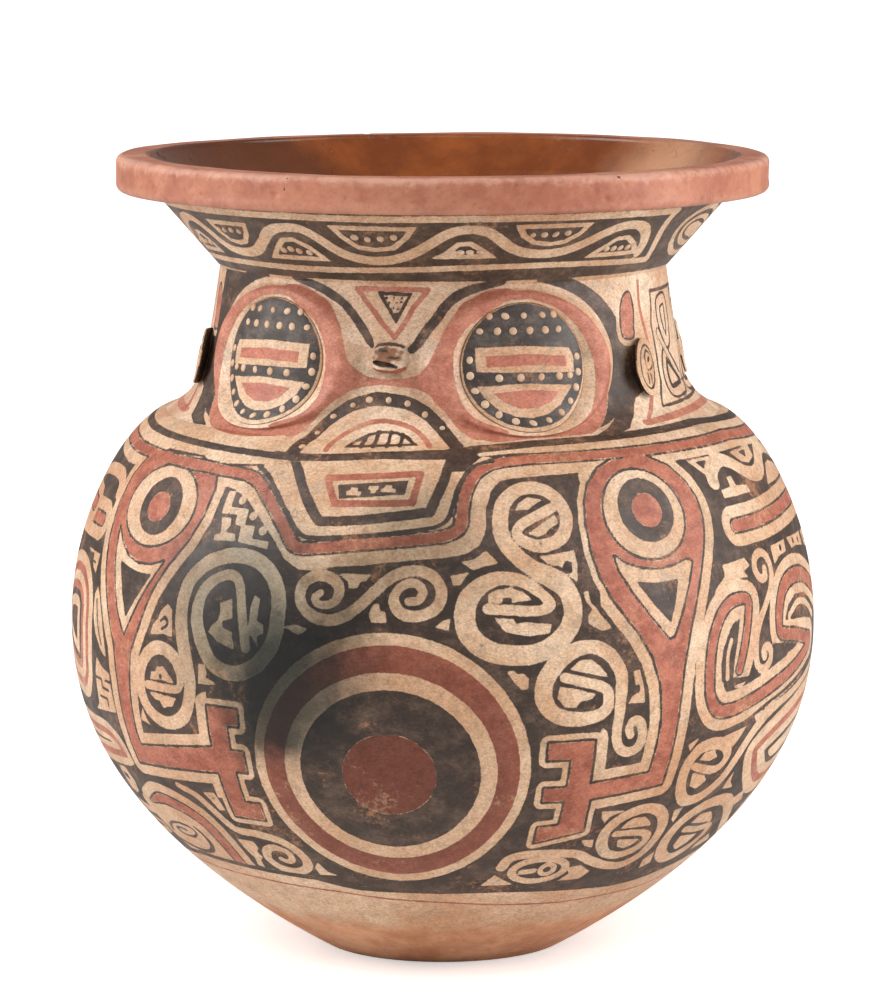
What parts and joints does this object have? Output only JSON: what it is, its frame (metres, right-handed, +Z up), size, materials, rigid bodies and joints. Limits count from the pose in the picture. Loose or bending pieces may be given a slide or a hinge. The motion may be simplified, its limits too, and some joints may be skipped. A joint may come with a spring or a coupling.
{
  "type": "polychrome pottery urn",
  "caption": "Round-bellied fired clay urn with a modelled face on each side of its neck, a flared collar and a thick rim, painted in red and black over cream slip.",
  "frame": {"origin": "middle of the foot, on the surface that the urn stands on", "axes": "+Z up the urn's axis; the front face looks along -Y and the back face along +Y; +X is to the right of someone facing the front"},
  "size_m": [0.451, 0.451, 0.48],
  "materials": {
    "base_clay": "bare, wiped smooth, fired orange",
    "lower_paint": "cream slip with red and black painted motifs, lightly burnished",
    "bowl_paint": "cream slip with red and black painted motifs, lightly burnished",
    "belly_paint": "cream slip with red and black painted motifs, lightly burnished",
    "shoulder_paint": "cream slip with red and black painted motifs, lightly burnished",
    "upper_shoulder_paint": "cream slip with red and black painted motifs, lightly burnished",
    "neck_paint": "cream slip with red and black painted motifs, lightly burnished",
    "collar_paint": "cream slip with a black and cream wave band outside, plain fired clay inside",
    "rim_clay": "plain red-brown slip, pitted, worn pale along its edges",
    "eye_ring_paint": "red and cream rings painted over modelled clay",
    "eye_pellet_paint": "black slip with cream dots and red bars",
    "nose_paint": "cream slip over modelled clay, dark in the nostrils",
    "ear_paint": "cream slip with thin dark rings"
  },
  "bodies": {
    "root": {"base_slab": "base_clay", "lower_wall": "lower_paint", "bowl_wall": "bowl_paint", "belly_wall": "belly_paint", "shoulder_wall": "shoulder_paint", "upper_shoulder": "upper_shoulder_paint", "neck_wall": "neck_paint", "flared_collar": "collar_paint", "rim_band": "rim_clay", "front_eye_ring_left": "eye_ring_paint", "front_eye_ring_right": "eye_ring_paint", "back_eye_ring_left": "eye_ring_paint", "back_eye_ring_right": "eye_ring_paint", "front_eye_pellet_left": "eye_pellet_paint", "front_eye_pellet_right": "eye_pellet_paint", "back_eye_pellet_left": "eye_pellet_paint", "back_eye_pellet_right": "eye_pellet_paint", "front_nose": "nose_paint", "back_nose": "nose_paint", "front_ear_left": "ear_paint", "front_ear_right": "ear_paint", "back_ear_left": "ear_paint", "back_ear_right": "ear_paint"}
  },
  "joints": []
}
